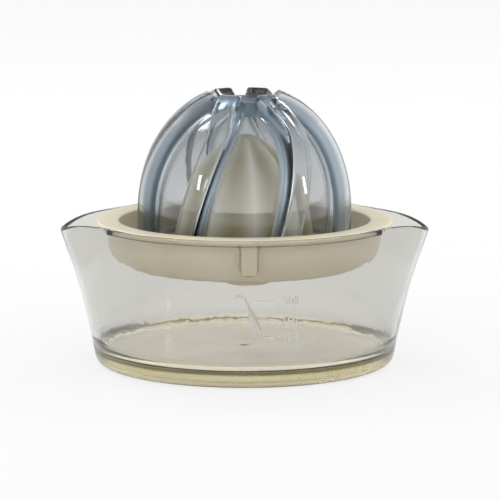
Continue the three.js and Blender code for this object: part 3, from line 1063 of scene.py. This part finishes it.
class ReamerForm:
    """The dome as a crest line, a valley line and columns across one fin."""

    def __init__(self, sizes, bottom):
        self.sizes = sizes
        self.bottom = bottom
        self.radius = sizes.radius / MM
        self.valley = sizes.valley_radius / MM
        self.half_fin = sizes.fin_thickness / MM / 2
        self.period = FULL_TURN / sizes.fin_count
        self.crest_line, self.valley_line = self.lines()
        self.columns = self.column_list()

    def lines(self):
        """Two lines of as many points: along a fin's crest and along a valley."""
        crest, valley = self.foot_lines()
        crest += dome(self.radius, FIN_DOME_TOP, DOME_STEPS, FIN_END_RADIUS + 0.5)
        valley += dome(self.valley, VALLEY_DOME_TOP, DOME_STEPS, HUB_FOOT_RADIUS + 1.0)
        crest += self.fin_end(*crest[-1])
        valley += self.hub_side(valley[-1][1])
        for line in (crest, valley):
            radius, _ = line[-1]
            line += [(radius * share, CROWN_FLOOR - CROWN_DISH * (1 - share))
                     for share in (0.8, 0.55, 0.3, 0)]
        return crest, valley

    def foot_lines(self):
        """The two lines up to the widest level: the base ring, and the fins and gores above it."""
        ring = self.radius
        e = RING_ROUNDING
        under = [(self.valley + 1, self.bottom), *arc(ring - e, self.bottom + e, e, -90, 0, 3)]
        valley = [*under, (ring, 40)]
        valley += [(ring, RING_TOP - e), *arc(ring - e, RING_TOP - e, e, 45, 90, 1)]
        valley += [((ring + self.valley) / 2, RING_TOP)]
        fillet = RING_FILLET
        valley += arc(self.valley + fillet, RING_TOP + fillet, fillet, 270, 180, 3)
        valley += [(self.valley, z) for z in (47, 49, 51)]
        rise = len(valley) - len(under)
        side = [(ring, FIN_FOOT + FIN_FOOT_RISE * (i + 1) / rise) for i in range(rise)]
        return [*under, *side], valley

    def fin_end(self, radius, height):
        """A fin's end, from its top edge down to the crown's floor."""
        edge = [(radius - 0.35, height - 0.03), (radius - 0.62, height - 0.3)]
        foot = (FIN_END_FOOT, CROWN_FLOOR)
        slope = [between(edge[-1], foot, share) for share in (0.25, 0.5, 0.75, 0.9)]
        return [*edge, *slope, (FIN_END_FOOT - 0.25, CROWN_FLOOR + 0.02),
                (FIN_END_FOOT - 0.8, CROWN_FLOOR)]

    def hub_side(self, height):
        """The hub's side in a valley, from the dome up to the crown's floor."""
        foot = [(HUB_FOOT_RADIUS + 0.35, height + 0.35), (HUB_FOOT_RADIUS, height + 1.0)]
        top = (HUB_RADIUS, CROWN_FLOOR - 0.5)
        side = [between(foot[-1], top, share) for share in (0.3, 0.6, 0.85)]
        return [*foot, *side, (HUB_RADIUS, CROWN_FLOOR - 0.4),
                (HUB_RADIUS - 0.12, CROWN_FLOOR - 0.1), (HUB_RADIUS - 0.45, CROWN_FLOOR)]

    def column_list(self):
        half = half_columns()
        return [*[(1, c) for c in half], *[(-1, c) for c in reversed(half[1:-1])]]

    def outer(self, ring, column):
        """Radius, angle in the period and height of a point on the outside."""
        (rf, zf), (rv, zv) = self.crest_line[ring], self.valley_line[ring]
        side, (kind, a, b) = self.columns[column]
        gap = math.hypot(rf - rv, zf - zv)
        edge = min(FIN_ROUNDING, 0.4 * gap)
        root = min(ROOT_ROUNDING, 0.4 * gap)
        next_fin = 0 if side > 0 else self.period
        if kind == "gore":
            start = self.rib_angle(self.half_fin + root, rv)
            return rv, next_fin + side * (start + (self.period / 2 - start) * a), zv
        if kind == "crest":
            across = (self.half_fin - edge) * a
            down = 0
        elif kind == "edge":
            across = self.half_fin - edge * a
            down = edge * b
        elif kind == "side":
            across = self.half_fin
            down = edge + (gap - root - edge) * a
        else:
            across = self.half_fin + root * a
            down = gap - root * b
        share = down / gap if gap > TINY else 0.0
        radius = rf + (rv - rf) * share
        return radius, next_fin + side * self.rib_angle(across, radius), zf + (zv - zf) * share

    def depth(self, ring, column):
        """Share of the deeper tint and painted shade: most at the fins' roots and the hub, where
        thick plastic is looked along.
        """
        _, (kind, a, _) = self.columns[column]
        (rf, zf), (rv, zv) = self.crest_line[ring], self.valley_line[ring]
        if rf < FIN_END_FOOT or (rv < HUB_FOOT_RADIUS + 0.5 and kind in ("gore", "root")):
            return 1
        if math.hypot(rf - rv, zf - zv) < 2:
            return 0
        if rf < FIN_END_RADIUS - 0.1:
            return FIN_END_TINT_AND_SHADE
        return {"side": FIN_SIDE_TINT_AND_SHADE, "root": 1 - 0.7 * a}.get(kind, 0)

    def rib_angle(self, across, radius):
        """The angle at which a fin's side lies at a radius; inside the crown it stays the same."""
        return math.asin(across / max(radius, CROWN_RADIUS))


def make_large_reamer(sizes, low):
    """The dome with its fins, hub and hollow as one solid."""
    form = ReamerForm(sizes, low)
    per_period = len(form.columns)
    columns = per_period * sizes.fin_count
    wall = sizes.wall / MM
    outside = len(form.crest_line)
    hollow, hollow_top = form.valley - wall, VALLEY_DOME_TOP - wall
    inside = [(hollow, low + 0.4), (hollow, 42), (hollow, 47)]
    inside += dome(hollow, hollow_top, HOLLOW_STEPS, 1.0)
    inside += [(0, hollow_top)]
    reamer = sleeve("large_reamer_clear", columns, len(inside) + outside)
    fin_angle = bearing_to_angle(FIN_BEARING)

    def swirl(height):
        back = SWIRL_RETURN * smoothstep(height, *SWIRL_RETURN_SPAN)
        return math.radians(sizes.swirl * (height - SWIRL_LEVEL) - back)

    def place(ring, column):
        fin, local = divmod(column, per_period)
        if ring < len(inside):
            radius, height = inside[len(inside) - 1 - ring]
            _, angle, _ = form.outer(0, local)
            angle += swirl(low)
            depth = 0
        else:
            radius, angle, height = form.outer(ring - len(inside), local)
            angle += swirl(height)
            depth = form.depth(ring - len(inside), local)
        angle += fin_angle + form.period * fin
        return radius * math.cos(angle), radius * math.sin(angle), height, depth

    shape(reamer, columns, place)
    close_up(reamer)
    notches = [radial_block("lug_notch", *NOTCH_SPAN, LUG_WIDTH + 2 * FIT, low - 1,
                            low + LUG_RISE, KEY_BEARING + 360 / LUG_COUNT * lug)
               for lug in range(LUG_COUNT)]
    known = depths_by_place(reamer)
    combine(reamer, join(notches), "DIFFERENCE")
    set_depths(reamer, known, lambda where: 0)
    smooth(reamer, 40)
    return reamer


# --- operators -----------------------------------------------------------------------------------


def adopt(piece, body, slot, *nodes):
    """Puts a finished piece on its CAD body and hides the nodes it stands for; the slot is not
    used.
    """
    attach(piece, body)
    if nodes:
        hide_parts(*nodes)


class JUICER_OT_jug(bpy.types.Operator):
    """Models the clear jug with its spouts, thick base and raised volume scale"""

    bl_idname = "juicer.jug"
    bl_label = "Jug"

    def execute(self, context):
        sizes, finishes = context.scene.juicer_jug, context.scene.juicer_finishes
        jug = make_jug(sizes)
        dress(jug, jug_plastic(finishes))
        adopt(jug, "jug", "jug_clear", "jug")
        scale = make_scale(sizes)
        dress(scale, mark_plastic())
        adopt(scale, "jug", "jug_clear")
        stroke = make_stroke(sizes)
        dress(stroke, jug.data.materials[0])
        adopt(stroke, "jug", "jug_clear")
        return {"FINISHED"}


class JUICER_OT_strainer(bpy.types.Operator):
    """Models the ivory strainer dish with its small cone, key, feet and slots"""

    bl_idname = "juicer.strainer"
    bl_label = "Strainer"

    def execute(self, context):
        scene = context.scene
        strainer = make_strainer(scene.juicer_strainer, scene.juicer_jug)
        dress(strainer, ivory_plastic(scene.juicer_finishes))
        adopt(strainer, "strainer", "strainer_ivory", "strainer")
        return {"FINISHED"}


class JUICER_OT_large_reamer(bpy.types.Operator):
    """Models the clear large reamer with its swirling fins"""

    bl_idname = "juicer.large_reamer"
    bl_label = "Large reamer"

    def execute(self, context):
        scene = context.scene
        reamer = make_large_reamer(scene.juicer_reamer, reamer_low.z / MM)
        dress(reamer, blue_plastic(scene.juicer_finishes))
        adopt(reamer, "large_reamer", "reamer_clear", "large_reamer")
        return {"FINISHED"}


# Each soft box has a place, a width and a height in metres, and a power in watts.
SOFT_BOXES = {
    "left_box": ((-0.81, -0.63, 0.39), 0.06, 0.2, 0.9),
    "right_box": ((1.0, -0.36, 0.31), 0.06, 0.2, 0.9),
    "back_left_box": ((-0.55, 0.7, 0.85), 0.4, 0.25, 3),
    "back_right_box": ((0.55, 0.75, 0.85), 0.3, 0.2, 2),
}
AIM = (0, 0, 0.05)
HORIZON = (2.0, 2.0, 2.0)
ZENITH = (0.32, 0.34, 0.36)
STRENGTH = 1.1
FRONT_GAIN = 0.7
FLOOR_GAP = 0.0003
LIGHT_BOUNCES = 24


def soft_box(name, place, width, height, power):
    """A rectangular soft box that looks at the juicer."""
    light = bpy.data.lights.new(name, "AREA")
    light.shape = "RECTANGLE"
    light.size, light.size_y = width, height
    light.energy = power
    lamp = bpy.data.objects.new(name, light)
    lamp.location = place
    lamp.rotation_euler = (Vector(AIM) - Vector(place)).to_track_quat("-Z", "Y").to_euler()
    bpy.context.scene.collection.objects.link(lamp)


def studio():
    """Light from all round: darker overhead, and brighter from the front than from behind."""
    world = bpy.data.worlds.new("studio")
    world.use_nodes = True
    nodes, links = world.node_tree.nodes, world.node_tree.links
    where = nodes.new("ShaderNodeTexCoord")
    split = nodes.new("ShaderNodeSeparateXYZ")
    fade = nodes.new("ShaderNodeMix")
    fade.data_type = "RGBA"
    fade.inputs[6].default_value = opaque(HORIZON)
    fade.inputs[7].default_value = opaque(ZENITH)
    front = nodes.new("ShaderNodeMath")
    front.operation = "MULTIPLY_ADD"
    front.inputs[1].default_value = -FRONT_GAIN
    front.inputs[2].default_value = STRENGTH
    background = nodes["Background"]
    links.new(where.outputs["Generated"], split.inputs[0])
    links.new(split.outputs["Z"], fade.inputs[0])
    links.new(fade.outputs[2], background.inputs["Color"])
    links.new(split.outputs["Y"], front.inputs[0])
    links.new(front.outputs[0], background.inputs["Strength"])
    return world


class JUICER_OT_stage(bpy.types.Operator):
    """Sets the pale floor, the camera and the soft light"""

    bl_idname = "juicer.stage"
    bl_label = "Stage"

    def execute(self, context):
        scene, settings = context.scene, context.scene.juicer_stage
        deselect_all()
        bpy.ops.mesh.primitive_plane_add(size=settings.floor_size)
        floor = name_new("floor")
        bpy.ops.transform.translate(value=(0, 0, -FLOOR_GAP))
        bpy.ops.object.transform_apply(location=True, rotation=True, scale=True)
        dress(floor, pale_floor())

        camera = bpy.data.cameras.new("camera")
        camera.sensor_width = 36
        camera.lens = settings.lens
        camera.clip_end = 50
        holder = bpy.data.objects.new("camera", camera)
        holder.location = (settings.sideways, -settings.distance, settings.camera_height)
        holder.rotation_euler = (math.radians(90) - settings.pitch, 0, 0)
        scene.collection.objects.link(holder)
        scene.camera = holder

        for name, box in SOFT_BOXES.items():
            soft_box(name, *box)
        scene.world = studio()
        scene.cycles.max_bounces = LIGHT_BOUNCES
        scene.cycles.transmission_bounces = LIGHT_BOUNCES
        scene.view_settings.view_transform = "Standard"
        return {"FINISHED"}


class JUICER_PT_sidebar(bpy.types.Panel):
    """Lists the steps that build the juicer"""

    bl_idname = "JUICER_PT_sidebar"
    bl_label = "Hand citrus juicer"
    bl_space_type = "VIEW_3D"
    bl_region_type = "UI"
    bl_category = "Juicer"

    def draw(self, context):
        for operator in OPERATORS:
            self.layout.operator(operator.bl_idname)
        for name, group in GROUPS.items():
            box = self.layout.box()
            for field in group.__annotations__:
                box.prop(getattr(context.scene, name), field)


OPERATORS = (JUICER_OT_jug, JUICER_OT_strainer, JUICER_OT_large_reamer, JUICER_OT_stage)


CLASSES = (*GROUPS.values(), *OPERATORS, JUICER_PT_sidebar)


def register():
    for kind in CLASSES:
        bpy.utils.register_class(kind)
    for name, group in GROUPS.items():
        setattr(bpy.types.Scene, name, PointerProperty(type=group))


def unregister():
    for name in GROUPS:
        delattr(bpy.types.Scene, name)
    for kind in reversed(CLASSES):
        bpy.utils.unregister_class(kind)


def main():
    """Registers the add-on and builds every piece."""
    register()
    bpy.ops.juicer.jug()
    bpy.ops.juicer.strainer()
    bpy.ops.juicer.large_reamer()
    bpy.ops.juicer.stage()


if __name__ == "__main__":
    main()
